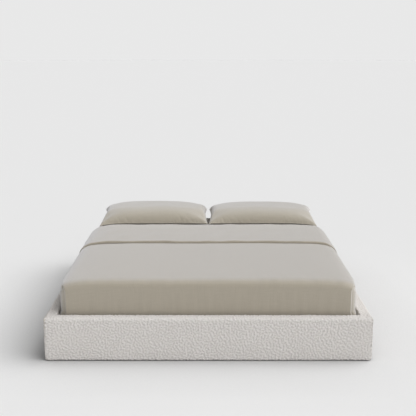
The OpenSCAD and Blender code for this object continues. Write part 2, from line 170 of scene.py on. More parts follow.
def ripples(x, y, seed, waves, shortest, longest, lean=None):
    """The mean of that many cosine waves, each of a random length between shortest and longest, direction and
    start; lean = (angle, spread) keeps the directions near one angle. It runs from about -1 to 1."""
    rng = np.random.default_rng(seed)
    length = rng.uniform(shortest, longest, waves)
    angle = rng.uniform(0, math.pi, waves) if lean is None else rng.normal(lean[0], lean[1], waves)
    start = rng.uniform(0, 2 * math.pi, waves)
    total = np.zeros(np.broadcast(x, y).shape)
    for k, a, s in zip(2 * math.pi / length, angle, start):
        total += np.cos(k * (np.cos(a) * x + np.sin(a) * y) + s)
    return total / math.sqrt(waves)


def walk(points, axis=0):
    """The distance travelled along a line of points, from 0 at its first."""
    legs = np.linalg.norm(np.diff(points, axis=axis), axis=-1)
    return np.insert(np.cumsum(legs, axis=axis), 0, 0, axis=axis)


# %% [markdown]
# ## Helpers for finishes
#
# A finish, and the sky too, is a small network of nodes. `put` adds one node and joins its inputs; `new_group`
# makes a node group with named sockets, for an effect that several finishes share, such as a weave or a wood
# grain; `finish_of` makes a material with one Principled shader, whose constants are set on its own sockets.

# %% Node helpers
def put(tree, kind, inputs=None, **settings):
    """One node of that kind; inputs maps a socket's name or number to a value or to another node's output."""
    node = tree.nodes.new("ShaderNode" + kind)
    for name, value in settings.items():
        setattr(node, name, value)
    for socket, value in (inputs or {}).items():
        if isinstance(value, bpy.types.NodeSocket):
            tree.links.new(value, node.inputs[socket])
        else:
            node.inputs[socket].default_value = value
    return node


def maths(tree, operation, *values):
    return put(tree, "Math", dict(enumerate(values)), operation=operation).outputs[0]


def vectors(tree, operation, a, b):
    return put(tree, "VectorMath", {0: a, 1: b}, operation=operation).outputs[0]


def noise(tree, vector, scale, detail, roughness=0.5):
    return put(tree, "TexNoise", {"Vector": vector, "Scale": scale, "Detail": detail,
                                  "Roughness": roughness}).outputs["Fac"]


def blend_colours(tree, factor, a, b):
    return put(tree, "Mix", {0: factor, 6: a, 7: b}, data_type="RGBA").outputs[2]


def new_group(name, inputs, outputs):
    """A shader node group with those sockets, as (name, kind, default) and (name, kind); gives it with its ends."""
    group = bpy.data.node_groups.new(name, "ShaderNodeTree")
    for label, kind, default in inputs:
        socket = group.interface.new_socket(name=label, in_out="INPUT", socket_type="NodeSocket" + kind)
        if default is not None:
            socket.default_value = default
    for label, kind in outputs:
        group.interface.new_socket(name=label, in_out="OUTPUT", socket_type="NodeSocket" + kind)
    return group, group.nodes.new("NodeGroupInput"), group.nodes.new("NodeGroupOutput")


def finish_of(name, constants):
    """A material holding one Principled shader; constants maps its socket names to fixed values."""
    material = bpy.data.materials.new(name)
    material.use_nodes = True
    shader = material.node_tree.nodes["Principled BSDF"]
    for socket, value in constants.items():
        shader.inputs[socket].default_value = value
    return material, material.node_tree, shader


def bump_into(tree, shader, height, strength, distance):
    bump = put(tree, "Bump", {"Height": height, "Strength": strength, "Distance": distance})
    tree.links.new(bump.outputs["Normal"], shader.inputs["Normal"])


def rgba(red, green, blue):
    return (red, green, blue, 1.0)


# %% [markdown]
# ## Floor and light
#
# The room is as plain as it can be: a wide matt floor that runs out to a pale sky of the same brightness, so no
# horizon shows. The sky seen is brighter than the sky that gives light, and the light of the sky leans to the
# right. One large soft light stands high on the right; it is a sun with a very wide disc, which gives the long
# soft shadow on the left of the bed. A second, lower one fills in the foot.

# %% Floor, sky and key light
SKY_SEEN = 0.81
SKY_LIGHT, SKY_LEAN = 0.19, 0.13
FLOOR_TONE = 0.875

floor_radius = np.array([0, 3, 6, 12, 40, 150.0])
floor_turn = np.linspace(0, 2 * math.pi, 65)[:-1]
floor_points = np.stack([floor_radius[:, None] * np.cos(floor_turn), floor_radius[:, None] * np.sin(floor_turn),
                         np.zeros((6, 64))], axis=-1).reshape(-1, 3)
floor = make_piece("floor", floor_points, grid_quads(6, 64, wrap=True), inside=(0, 0, -1))

world = bpy.data.worlds.new("studio")
scene.world = world
world.use_nodes = True
sky = world.node_tree
sky.nodes.clear()
rightward = put(sky, "SeparateXYZ", {0: put(sky, "TexCoord").outputs["Generated"]}).outputs["X"]
glow = put(sky, "Background", {"Color": rgba(1, 1, 1),
                               "Strength": maths(sky, "MULTIPLY_ADD", rightward, SKY_LEAN, SKY_LIGHT)})
seen = put(sky, "Background", {"Color": rgba(SKY_SEEN, SKY_SEEN, SKY_SEEN)})
either = put(sky, "MixShader", {0: put(sky, "LightPath").outputs["Is Camera Ray"], 1: glow.outputs[0],
                                2: seen.outputs[0]})
put(sky, "OutputWorld", {"Surface": either.outputs[0]})


def soft_sun(name, height, swing, wide, energy):
    """A sun whose disc is that wide, at that height above the floor, swung from straight right towards the head end,
    all in degrees."""
    up, turn = math.radians(height), math.radians(swing)
    light = bpy.data.lights.new(name, "SUN")
    light.energy, light.angle = energy, math.radians(wide)
    lamp = bpy.data.objects.new(name, light)
    towards = Vector((math.cos(up) * math.cos(turn), math.cos(up) * math.sin(turn), math.sin(up)))
    lamp.rotation_euler = towards.to_track_quat("Z", "Y").to_euler()
    lamp.location = towards * 6
    scene.collection.objects.link(lamp)


soft_sun("key", 54, -2, 62, 2.36)
soft_sun("fill", 15, -86, 80, 1.20)
scene.view_settings.view_transform = "Standard"
print("floor disc of", floor_radius[-1], "m, sky light", SKY_LIGHT)

# %% [markdown]
# ## Woven cloth
#
# Linen, cotton sheeting, ticking and webbing are plain weaves: threads along the cloth and threads across it. The
# group draws both as waves, in metres, and adds slubs, the thicker stretches that make linen look like linen. It
# puts out a colour and a height, and each cloth sets its own thread size, slub strength and contrast.

# %% Weave group
weave, weave_in, weave_out = new_group(
    "plain_weave",
    [("Vector", "Vector", None), ("Color", "Color", (0.5, 0.5, 0.5, 1)), ("Threads per metre", "Float", 900.0),
     ("Slub", "Float", 0.5), ("Contrast", "Float", 0.1)],
    [("Color", "Color"), ("Height", "Float")])


def threads(across, along_scale, across_scale, seed):
    """One set of threads: a sine wave across them, pushed a little by noise, and long thin noise for slubs."""
    scaled = put(weave, "VectorMath", {0: weave_in.outputs["Vector"], "Scale": weave_in.outputs["Threads per metre"]},
                 operation="SCALE").outputs[0]
    wobble = noise(weave, scaled, 0.11, 1.0)
    parts = put(weave, "SeparateXYZ", {0: scaled})
    line = maths(weave, "ADD", parts.outputs[across], maths(weave, "MULTIPLY", wobble, 2.2))
    wave = maths(weave, "MULTIPLY_ADD", maths(weave, "SINE", maths(weave, "MULTIPLY", line, math.pi)), 0.5, 0.5)
    stretch = (across_scale, along_scale, seed) if across == 0 else (along_scale, across_scale, seed)
    slub_at = vectors(weave, "MULTIPLY", weave_in.outputs["Vector"], stretch)
    shifted = vectors(weave, "ADD", slub_at, (seed, seed * 2, seed * 3))
    slub = noise(weave, shifted, 1.0, 3.0, 0.65)
    return wave, slub


warp_wave, warp_slub = threads(0, 9.0, 170.0, 3.1)
weft_wave, weft_slub = threads(1, 9.0, 150.0, 7.7)
weave_height = maths(weave, "MULTIPLY", maths(weave, "ADD", warp_wave, weft_wave), 0.5)
slub_sum = maths(weave, "SUBTRACT", maths(weave, "ADD", warp_slub, weft_slub), 1.0)
slub_part = maths(weave, "MULTIPLY", slub_sum, weave_in.outputs["Slub"])
weave_total = maths(weave, "ADD", weave_height, maths(weave, "MULTIPLY", slub_part, 2.0))
tone = maths(weave, "ADD", maths(weave, "MULTIPLY", maths(weave, "SUBTRACT", weave_height, 0.5), 0.35), slub_part)
factor = maths(weave, "MULTIPLY_ADD", tone, weave_in.outputs["Contrast"], 1.0)
shaded = put(weave, "VectorMath", {0: weave_in.outputs["Color"], "Scale": factor}, operation="SCALE").outputs[0]
weave.links.new(shaded, weave_out.inputs["Color"])
weave.links.new(weave_total, weave_out.inputs["Height"])
print("weave group:", len(weave.nodes), "nodes")


# %% [markdown]
# ## Cloth finishes
#
# All the bed linen is the same washed linen-look cloth. Seen square on it is a warm grey-brown, and at a low angle
# the fine surface hairs catch the light and turn it nearly neutral. That is sheen, and its strength, tint and
# roughness are constants on the shader's own sockets. The pillows take a lighter copy of the same linen, as
# painted light. The fitted sheet is a tighter, greyer cotton.

# %% Linen and cotton finishes
def cloth_finish(name, colour, sheen, per_metre, slub, contrast, relief):
    """The weave on the cloth's UV map, under a sheen of fine surface hairs."""
    material, tree, shader = finish_of(name, {
        "Roughness": 0.85, "Sheen Weight": sheen, "Sheen Roughness": 0.75,
        "Sheen Tint": rgba(0.82, 0.825, 0.862), "Specular IOR Level": 0.3})
    uv = put(tree, "UVMap", uv_map="cloth").outputs["UV"]
    group = put(tree, "Group", {"Vector": uv, "Color": colour, "Threads per metre": per_metre, "Slub": slub,
                                "Contrast": contrast}, node_tree=weave)
    tree.links.new(group.outputs["Color"], shader.inputs["Base Color"])
    bump_into(tree, shader, group.outputs["Height"], relief, 0.0006)
    return material


# the pillows' colour is a lighter copy of the linen's: painted light on the pillows
LINEN, PILLOW_LINEN_PAINTED_LIGHTER = rgba(0.343, 0.296, 0.211), rgba(0.390, 0.346, 0.260)
linen = cloth_finish("washed_linen", LINEN, 1.0, 700, 0.9, 0.22, 0.35)
pillow_linen = cloth_finish("pillow_linen", PILLOW_LINEN_PAINTED_LIGHTER, 1.0, 800, 0.7, 0.18, 0.3)
sheet_cotton = cloth_finish("sheet_cotton", rgba(0.33, 0.29, 0.225), 0.8, 1400, 0.3, 0.1, 0.2)


# %% [markdown]
# ## Boucle
#
# Boucle is woven from a curled yarn, so its face is a field of small loops of no set direction. The larger curls
# are real relief in the mesh, and their height is kept as the attribute `curl`: the hollows between them are
# painted a little darker, as painted shade. The single loops, a couple of millimetres across, are a bump on the
# Object coordinates, and their edges, where the bump is low, are painted darker too, as painted shade.

# %% Boucle finish
boucle, yarn, boucle_shader = finish_of("boucle", {
    "Roughness": 0.95, "Sheen Weight": 0.15, "Sheen Roughness": 0.5, "Specular IOR Level": 0.15})
yarn_at = put(yarn, "TexCoord").outputs["Object"]
loops = put(yarn, "TexVoronoi", {"Vector": yarn_at, "Scale": 330.0, "Randomness": 1.0},
            feature="SMOOTH_F1").outputs["Distance"]
fuzz = noise(yarn, yarn_at, 900.0, 3.0)
patch = noise(yarn, yarn_at, 9.0, 2.0)
curl_height = put(yarn, "Attribute", attribute_name="curl").outputs["Fac"]
# painted shade: the hollows between the curls, low in the curl attribute, are coloured darker
painted_hollow_shade = maths(yarn, "MULTIPLY_ADD", curl_height, 0.5, 0.5)
wool_colour_with_painted_shade = blend_colours(yarn, painted_hollow_shade, rgba(0.670, 0.640, 0.616), rgba(0.817, 0.789, 0.765))
# painted shade: the loops' edges, low in the bump, are coloured darker; the broad patches are random tone
for mask, share, tint in ((loops, 0.35, rgba(0.60, 0.57, 0.54)), (patch, 0.12, rgba(0.72, 0.68, 0.64))):
    wool_colour_with_painted_shade = blend_colours(yarn, maths(yarn, "MULTIPLY", mask, share), wool_colour_with_painted_shade, tint)
yarn.links.new(wool_colour_with_painted_shade, boucle_shader.inputs["Base Color"])
lumps = noise(yarn, yarn_at, 120.0, 1.0)
pile = maths(yarn, "SUBTRACT", maths(yarn, "MULTIPLY", fuzz, 0.5), loops)
bump_into(yarn, boucle_shader, maths(yarn, "MULTIPLY_ADD", lumps, 1.6, pile), 0.7, 0.0020)


# %% [markdown]
# ## The rails' covers
#
# Each rail is a box padded with thin foam and wrapped in boucle, pulled round underneath and stapled beside a
# slot for the glides' screws. A box with a bump would have a knife-straight outline. Here the profile, a
# rectangle with four different corner radii, is carried along the rail and drawn together over each end, and a
# field of curls pushes the surface out and in by some two millimetres.

# %% Rail cover surface
def curls(shape, spacing, seed, short=0.0128, long=0.036):
    """Relief of curled yarn, from -1 to 1: white noise keeps only waves between short and long, stretched a little
    along a slant, and tanh squeezes them into round-topped worms with narrow hollows between."""
    rng = np.random.default_rng(seed)
    spectrum = np.fft.rfft2(rng.standard_normal(shape))
    along = np.fft.fftfreq(shape[0], spacing[0])[:, None]
    round_it = np.fft.rfftfreq(shape[1], spacing[1])[None, :]
    slant = math.radians(35)
    first = along * math.cos(slant) + round_it * math.sin(slant)
    second = round_it * math.cos(slant) - along * math.sin(slant)
    frequency = np.hypot(first * 1.12, second * 0.9)
    middle, width = (1 / short + 1 / long) / 2, (1 / short - 1 / long) / 2
    field = np.fft.irfft2(spectrum * np.exp(-((frequency - middle) / width) ** 2), shape)
    return np.tanh(1.3 * field / field.std())


def rail_profile(depth, height, radii, spacing):
    """Points round a rectangle depth wide and height high with its own radius at each corner, evenly spaced, from
    the middle of the underside: across is 0 at the rail's middle and up is 0 at its underside."""
    half = depth / 2
    corners = [(half, 0), (half, height), (-half, height), (-half, 0)]
    turn = np.linspace(0, 1, 12)
    parts = [np.array([[0.0, 0.0]])]
    for i, ((x, z), r) in enumerate(zip(corners, radii)):
        centre = np.array([x - r * np.sign(x), z + (r if z == 0 else -r)])
        angle = math.radians(-90 + 90 * i) + turn * math.pi / 2
        parts.append(centre + r * np.stack([np.cos(angle), np.sin(angle)], axis=1))
    line = np.concatenate(parts + [np.array([[0.0, 0.0]])])
    travelled = walk(line)
    count = int(round(travelled[-1] / spacing))
    even = np.linspace(0, travelled[-1], count + 1)[:-1]
    return np.stack([np.interp(even, travelled, line[:, i]) for i in (0, 1)], axis=1), travelled[-1] / count


def rail_cover(name, node, along_x, outward, seed, spacing=0.0042, end_r=0.014, relief=0.0023):
    """The profile carried along the rail. Past each end it is drawn towards the rectangle's middle line, while a
    quarter circle of radius end_r rounds the end. Curls move each point along the surface's own normal."""
    low, high = (np.array(v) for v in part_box(node))
    way, side = (0, 1) if along_x else (1, 0)
    length, depth = (high - low)[[way, side]]
    under = low[2] - 0.007
    height = high[2] - under
    profile, spacing_round = rail_profile(depth, height, (0.007, 0.015, 0.007, 0.005), spacing)
    rows = int(round((length - 2 * end_r) / spacing))
    straight = np.linspace(-length / 2 + end_r, length / 2 - end_r, rows)
    angle = np.linspace(math.pi / 2, 0, 6)[1:-1]
    drawn = np.concatenate([np.linspace(depth / 2, end_r, 7), end_r * (1 - np.cos(math.pi / 2 - angle[::-1]))[::-1]])
    drop = np.where(drawn < end_r, end_r - np.sqrt(np.maximum(end_r**2 - (end_r - drawn) ** 2, 0)), 0)
    at = np.concatenate([-length / 2 + drop, straight, (length / 2 - drop)[::-1]])
    share = np.concatenate([drawn, np.zeros(rows), drawn[::-1]]) / (depth / 2)
    middle = np.stack([np.zeros(len(profile)), np.clip(profile[:, 1], depth / 2, height - depth / 2)], axis=1)
    section = profile[None] + (middle - profile)[None] * share[:, None, None]
    across, up = section[..., 0] * outward, section[..., 1] + under
    centre = (low + high) / 2
    along = np.repeat(at[:, None], len(profile), axis=1)
    points = np.stack([along + centre[way], across + centre[side], up], axis=-1)[..., [way, side, 2]]
    field = curls(points.shape[:2], (spacing, spacing_round), seed)
    du = np.gradient(points, axis=0)
    dv = (np.roll(points, -1, axis=1) - np.roll(points, 1, axis=1)) / 2
    normal = np.cross(du, dv)
    normal /= np.maximum(np.linalg.norm(normal, axis=-1, keepdims=True), 1e-9)
    if np.einsum("ijk,ijk->", normal, points - centre) < 0:
        normal = -normal
    fade = step(share, 1.0, 0.8)[:, None]
    slow = ripples(along, up * 0.5 + across, seed + 1, 7, 0.25, 0.8)
    moved = points + normal * ((field * relief + slow * 0.0007) * fade)[..., None]
    quads = grid_quads(*points.shape[:2], wrap=True)
    middle_of = moved.reshape(-1, 3)[quads].mean(axis=1)
    off_middle = np.abs((middle_of - centre)[:, side])
    off_end = length / 2 - np.abs((middle_of - centre)[:, way])
    slot = (middle_of[:, 2] < under + 0.006) & (off_middle < SLOT_WIDTH / 2) & (off_end > SLOT_END)
    uv = np.stack([along, np.arange(len(profile)) * spacing_round + 0 * along], axis=-1)
    piece = make_piece(name, moved.reshape(-1, 3), quads[~slot], uv.reshape(-1, 2), {"curl": field.ravel()})
    piece.data.materials.append(boucle)
    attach(piece, "frame")
    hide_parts(node)


SLOT_WIDTH, SLOT_END = 0.032, 0.030
rail_cover("foot_rail_boucle", "foot_rail_cover", True, -1, 11)
rail_cover("head_rail_boucle", "head_rail_cover", True, 1, 12)
rail_cover("left_rail_boucle", "left_rail_cover", False, -1, 13, end_r=0.004)
rail_cover("right_rail_boucle", "right_rail_cover", False, 1, 14, end_r=0.004)


# %% [markdown]
# ## A cloth pulled over a block
#
# The fitted sheet and the coverlet have the same build: a flat top, and a skirt that turns over the edge and goes
# down the sides. The top is a plain grid, and the skirt is a strip that runs along its edge and round its
# corners. Both take their height from one function, so the turn is smooth, and give distance along the cloth as UV.

# %% Block cloth surface
def block_cloth(xs, ys, radius, upper, skirt, closed):
    """xs and ys are the top's grid lines, which stop one corner radius inside the outline. The strip's rows go out
    from there along a quarter sine to that radius, and then down by skirt, which gives each further row's outward
    shift and height. closed goes round all four corners; otherwise the side with the highest y stays open."""
    turn = np.linspace(0, math.pi / 2, 15)[1:-1]
    left, right, front, rear = xs[0], xs[-1], ys[0], ys[-1]

    def arc(cx, cy, start):
        return np.stack([np.full(13, cx), np.full(13, cy), np.cos(start + turn), np.sin(start + turn)], axis=1)

    def side(x, y, nx, ny):
        x, y = np.broadcast_arrays(np.array(x, float), np.array(y, float))
        return np.stack([x, y, np.full(x.shape, nx, float), np.full(x.shape, ny, float)], axis=1)

    parts = [side(left, ys[::-1], -1, 0), arc(left, front, math.pi), side(xs, front, 0, -1),
             arc(right, front, 1.5 * math.pi), side(right, ys, 1, 0)]
    if closed:
        parts += [arc(right, rear, 0), side(xs[::-1], rear, 0, 1), arc(left, rear, math.pi / 2)]
    path = np.concatenate(parts)
    out = radius * np.sin(np.linspace(0, math.pi / 2, 12))
    base, normal = path[:, None, :2], path[:, None, 2:]
    top_strip = base + normal * out[None, :, None]
    rim = top_strip[:, -1]
    down_shift, down_height = skirt(rim, path[:, 2:], upper(rim[:, 0], rim[:, 1]))
    lower = rim[:, None] + normal * down_shift[..., None]
    xy = np.concatenate([top_strip, lower], axis=1)
    z = np.concatenate([upper(top_strip[..., 0], top_strip[..., 1]), down_height], axis=1)
    strip = np.concatenate([xy, z[..., None]], axis=-1)
    strip_uv = base + normal * walk(strip, axis=1)[..., None]
    gx, gy = np.meshgrid(xs, ys, indexing="ij")
    top = np.stack([gx, gy, upper(gx, gy)], axis=-1)
    return strip, strip_uv, top, np.stack([gx, gy], axis=-1)


def block_piece(name, strip, strip_uv, top, top_uv, closed, material, inside):
    """One mesh from the strip's grid and the top's grid, joined where their points meet."""
    n_path, n_down = strip.shape[:2]
    quads = np.concatenate([grid_quads(n_down, n_path, wrap=closed),
                            grid_quads(*top.shape[:2], offset=n_path * n_down)])
    points = np.concatenate([strip.swapaxes(0, 1).reshape(-1, 3), top.reshape(-1, 3)])
    uv = np.concatenate([strip_uv.swapaxes(0, 1).reshape(-1, 2), top_uv.reshape(-1, 2)])
    piece = make_piece(name, points, quads, uv, inside=inside)
    piece.data.materials.append(material)
    return piece


# %% [markdown]
# ## Outline of the made-up mattress
#
# The coverlet, its band, the sheet and the pillows all lie on one another, so they share one set of curves. The
# shoulders are soft: the coverlet begins to fall some 250 mm in from each side.

# %% Shared bedding curves
COVER_SIDE, COVER_FRONT, COVER_REAR, COVER_RADIUS = 1.003, -1.017, 0.518, 0.035
COVER_TOP = 0.5212
FOLD_X, FOLD_PROUD, PIT_Z = 0.966, 0.0125, 0.474
side_fall = ease([0, 0.003, 0.008, 0.020, 0.044, 0.073, 0.135, 0.195, 0.295, 0.42],
                 [0.090, 0.079, 0.0675, 0.0515, 0.033, 0.020, 0.0092, 0.0038, 0.0008, 0])
front_fall = ease([0, 0.003, 0.009, 0.018, 0.032, 0.05, 0.09, 0.15],
                  [0.044, 0.031, 0.021, 0.0125, 0.006, 0.0025, 0.0006, 0])


def cover_upper(x, y):
    """The top, lowered by one curve of the distance in from the side and one from the front, and a slow swell."""
    fall = side_fall(COVER_SIDE - np.abs(x)) + front_fall(y - COVER_FRONT)
    puckers = 0.0011 * ripples(x, 0.35 * y, 33, 9, 0.05, 0.16) * step(y - COVER_FRONT, 0.16, 0.02)
    return COVER_TOP - fall + 0.0009 * ripples(x, y, 31, 6, 0.35, 1.1) + puckers


# %% [markdown]
# ## The fitted sheet
#
# A fitted sheet is cut with its corners taken out, sewn into a box and held under the mattress by elastic. It is
# stretched, so its top is smooth and only its corners pull slight diagonal creases. It stands in for the CAD
# solid of the same name and keeps its outline.

# %% Fitted sheet
sheet_low, sheet_high = (np.array(v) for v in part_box("fitted_sheet"))
SHEET_RADIUS = 0.060
SHEET_TOP = sheet_high[2]
sheet_turn = ease([0, 0.004, 0.012, 0.025, 0.042, 0.07, 0.11], [0.042, 0.028, 0.016, 0.007, 0.0022, 0.0004, 0])


def sheet_upper(x, y):
    """The top, lowered near each edge by a curve of the distance in from it, with slight creases to the corners."""
    side_in, end_in = sheet_high[0] - np.abs(x), sheet_high[1] - np.abs(y)
    creases = ripples(x, y, 21, 6, 0.05, 0.16, (0.9, 0.5)) * step(side_in + end_in, 0.6, 0.1) * 0.0007
    drop = np.maximum(sheet_turn(side_in) + sheet_turn(end_in), 0)
    z = SHEET_TOP + 0.0006 - drop + creases - 0.0004 * ripples(x, y, 22, 5, 0.3, 0.9)
    covered = cover_upper(x, np.maximum(y, COVER_FRONT)) - 0.006
    return np.where(y < COVER_REAR, np.minimum(z, covered), z)


def sheet_skirt(rim, normals, start):
    """From the turn straight down to the hem, in under the mattress for 100 mm; the elastic gathers the hem."""
    t = np.linspace(0, 1, 26)[1:]
    height = start[:, None] + (sheet_low[2] + 0.004 - start[:, None]) * t
    shift = np.zeros_like(height) - 0.003 * step(t, 0.8, 1.0)
    under = np.linspace(0, 1, 9)[1:]
    gather = ripples(rim[:, 0], rim[:, 1], 23, 5, 0.03, 0.07)[:, None] * 0.0012
    shift_under = -0.003 - 0.10 * under + 0 * start[:, None]
    height_under = sheet_low[2] + 0.0008 + 0.003 * (1 - step(under, 0, 0.15)) + np.abs(gather) * step(under, 0.3, 1)
    return np.concatenate([shift, shift_under], axis=1), np.concatenate([height, height_under], axis=1)


sheet_x = np.linspace(-sheet_high[0] + SHEET_RADIUS, sheet_high[0] - SHEET_RADIUS, 120)
sheet_y = np.linspace(-sheet_high[1] + SHEET_RADIUS, sheet_high[1] - SHEET_RADIUS, 130)
fitted = block_piece("fitted_sheet_cloth", *block_cloth(sheet_x, sheet_y, SHEET_RADIUS, sheet_upper, sheet_skirt, True),
                     True, sheet_cotton, (0, 0, 0.35))
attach(fitted, "mattress")
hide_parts("fitted_sheet")
print("fitted sheet:", triangles_of(fitted), "triangles")


# %% [markdown]
# ## The coverlet
#
# The coverlet is a lofty linen cover, tucked in at the foot and along both sides. It bulges slightly above the
# rail and is drawn in behind it. At the foot the front panel lies over the folded corner of the side panel, so it
# stands about a centimetre proud, ends in a straight upright fold near each corner, and leaves a small pit where
# the fold begins.

# %% Coverlet surface
cover_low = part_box("coverlet")[0]
rail_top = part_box("foot_rail_cover")[1][2]


def cover_skirt(rim, normals, start):
    """Down from the turn: out to the bulge, then in behind the rail. The tuck starts just above the rail's top."""
    t = np.linspace(0, 1, 56)[1:] ** 1.2
    height = start[:, None] + (cover_low[2] - start[:, None]) * t
    front = normals[:, 1:2] ** 2
    bulge = 0.002 * np.exp(-((height - 0.395) / 0.045) ** 2) * (1 - front)
    tuck = -0.012 * step(height, 0.318, 0.280)
    tension = ripples(rim[:, :1], height * 0.15, 32, 9, 0.035, 0.12, (0.0, 0.08)) * 0.0006
    return bulge + tuck * (1 - 0.9 * front) + tension * step(height, 0.47, 0.40), height


dense = np.linspace(0.936, COVER_SIDE - COVER_RADIUS, 28)
cover_x = np.concatenate([-dense[::-1], np.linspace(-0.936, 0.936, 150)[1:-1], dense])
cover_y = np.concatenate([np.linspace(COVER_FRONT + COVER_RADIUS, -0.90, 9)[:-1], np.linspace(-0.90, COVER_REAR, 110)])
strip, strip_uv, top, top_uv = block_cloth(cover_x, cover_y, COVER_RADIUS, cover_upper, cover_skirt, False)
print("coverlet grids", strip.shape, top.shape)


# %% Coverlet corner folds
CORNER_SLANT, PIT_DEPTH, DRAWN_IN = 0.40, 0.022, 0.025


def shaped(points):
    """Below the shoulders, draws the sides in towards the foot by up to the share DRAWN_IN, and by a quarter of it
    below the rail's top, then stands the front panel proud. Above the pit the panel fades slowly towards the
    corner; below it the panel ends at the fold, whose lower corner is rounded off. Beyond the fold the corner is
    cut off slantwise, so it turns to the side at once."""
    x, y, z = points[..., 0], points[..., 1], points[..., 2]
    from_middle = np.abs(x)
    near_front = step(y, COVER_FRONT + 0.10, COVER_FRONT + 0.02)
    rounding = 0.010 * step(z, rail_top + 0.022, rail_top - 0.004)
    sharp = np.sqrt(np.clip((FOLD_X - rounding - from_middle) / 0.006, 0, 1))
    wide = step(from_middle, 0.992, 0.86)
    lower = step(z, 0.490, 0.462)
    stand = FOLD_PROUD * (wide + (sharp - wide) * lower) * near_front
    slant = CORNER_SLANT * np.maximum(from_middle - FOLD_X, 0) * near_front * step(z, 0.50, 0.47)
    pit = np.exp(-((from_middle - FOLD_X - 0.002) / 0.0065) ** 2 - ((z - PIT_Z) / 0.010) ** 2)
    pit = PIT_DEPTH * pit * step(y, COVER_FRONT + 0.03, COVER_FRONT + 0.01)
    above_rail = 0.25 + 0.75 * step(z, rail_top - 0.015, rail_top + 0.022)
    narrower = 1 - DRAWN_IN * step(-y, 0.74, 1.03) * above_rail * step(z, 0.489, 0.440)
    return np.stack([x * narrower, y - stand + slant + pit, z], axis=-1)


coverlet = block_piece("coverlet_cloth", shaped(strip), strip_uv, shaped(top), top_uv, False, linen, (0, 0, 0.3))
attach(coverlet, "mattress")
print("coverlet:", triangles_of(coverlet), "triangles")


# %% [markdown]
# ## The turned-down band
#
# The head end of the coverlet is folded back on itself, so a band of doubled cloth lies on it. Its front edge is a
# soft lip about 20 mm thick, never quite straight, and its rear edge is the fold itself, partly under the
# pillows. The band is one closed surface: a flat loop carried from one tucked side, over the bed, to the other.

# %% Turned-down band surface
BAND_FRONT, BAND_REAR, BAND_THICK = -0.070, 0.530, 0.0195
band_y = (BAND_FRONT + BAND_REAR) / 2
half = np.concatenate([np.linspace(0, 0.90, 110), COVER_SIDE - 0.097 * np.cos(np.linspace(0, math.pi / 2, 26))[1:]])
band_x = np.concatenate([-half[::-1], half[1:]])
band_z = cover_upper(band_x, band_y)
down = np.linspace(band_z[-1], cover_low[2] + 0.001, 34)[1:]
in_shift = 0.002 * np.exp(-((down - 0.395) / 0.045) ** 2) - 0.013 * step(down, 0.320, 0.282)
right_line = np.stack([COVER_SIDE + in_shift, down], axis=1)
left_line = right_line[::-1] * (-1, 1)
line = np.concatenate([left_line, np.stack([band_x, band_z], axis=1), right_line])
tangent = np.gradient(line, axis=0)
tangent /= np.linalg.norm(tangent, axis=1, keepdims=True)
outward = np.stack([-tangent[:, 1], tangent[:, 0]], axis=1)
walked = walk(line)
walked -= walked[-1] / 2
thick = BAND_THICK * (0.30 + 0.70 * step(np.abs(line[:, 0]), 1.004, 0.90))
thick = np.where(line[:, 1] < 0.40, thick * (0.25 + 0.75 * step(line[:, 1], rail_top - 0.004, 0.36)), thick)
thick += 0.0016 * ripples(walked, 0 * walked, 41, 7, 0.12, 0.5, (0.0, 0.01)) * step(thick, 0.008, 0.018)
lip = BAND_FRONT + 0.0028 * ripples(walked, 0 * walked, 42, 7, 0.15, 0.7, (0.0, 0.01))
end_y = BAND_REAR - 0.002 + 0.0015 * ripples(walked, 0 * walked, 43, 5, 0.2, 0.6, (0.0, 0.01))

LIP = [(0.020, -0.12), (0.006, -0.06), (0.001, 0.10), (0.000, 0.35), (0.0004, 0.62), (0.002, 0.84), (0.006, 0.96),
       (0.012, 1.0), (0.024, 1.01)]
NOSE = [(-0.060, 1.0), (-0.030, 0.97), (-0.014, 0.72), (-0.004, 0.30), (0.000, -0.20), (-0.003, -0.70), (-0.010, -1.10),
        (-0.024, -1.32), (-0.036, -1.10), (-0.044, -0.12)]
front_part = np.stack([np.stack([lip + dy, thick * n], axis=1) for dy, n in LIP], axis=1)
nose_unit = np.where(line[:, 1] > 0.30, 0.0205, 0.0205 * step(line[:, 1], rail_top - 0.03, 0.31))
nose_part = np.stack([np.stack([end_y + dy, (thick if n > 0 else nose_unit) * n], axis=1) for dy, n in NOSE], axis=1)
share = np.linspace(0, 1, 52)[1:-1]
join = front_part[:, -1:, :] + (nose_part[:, :1, :] - front_part[:, -1:, :]) * share[None, :, None]
loop = np.concatenate([front_part, join, nose_part], axis=1)
fade_ends = step(np.abs(walked), walked[-1], walked[-1] - 0.012)[:, None]
loop[..., 1] *= fade_ends
loop[0] = loop[-1] = (band_y, 0)
swell = 0.0008 * ripples(loop[..., 0], walked[:, None], 44, 8, 0.12, 0.5) * (loop[..., 1] > 0.9 * thick[:, None])
points = np.stack([line[:, None, 0] + outward[:, None, 0] * (loop[..., 1] + swell), loop[..., 0],
                   line[:, None, 1] + outward[:, None, 1] * (loop[..., 1] + swell)], axis=-1)
band_uv = np.stack([np.repeat(walked[:, None], loop.shape[1], axis=1), loop[..., 0]], axis=-1)
band = make_piece("coverlet_turn_down", points.reshape(-1, 3), grid_quads(*points.shape[:2], wrap=True),
                  band_uv.reshape(-1, 2), inside=(0, band_y, 0.3))
band.data.materials.append(linen)
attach(band, "mattress")
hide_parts("coverlet")
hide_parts("coverlet")
print("band:", triangles_of(band), "triangles, box", np.round([points.min((0, 1)), points.max((0, 1))], 3).tolist())


# %% [markdown]
# ## The pillows
#
# A pillowcase is two flat rectangles sewn together along their edges. Blown up, its corners stay thin, its sides
# draw in between them, and small creases run in from the seams. That is hard to write down and easy to simulate:
# the flat bag is given pressure as cloth for a short while, gravity off. Its UV map is the flat cut itself. The
# result is then set down: the underside is pressed on the sheet and the band, and the crown gets its height.

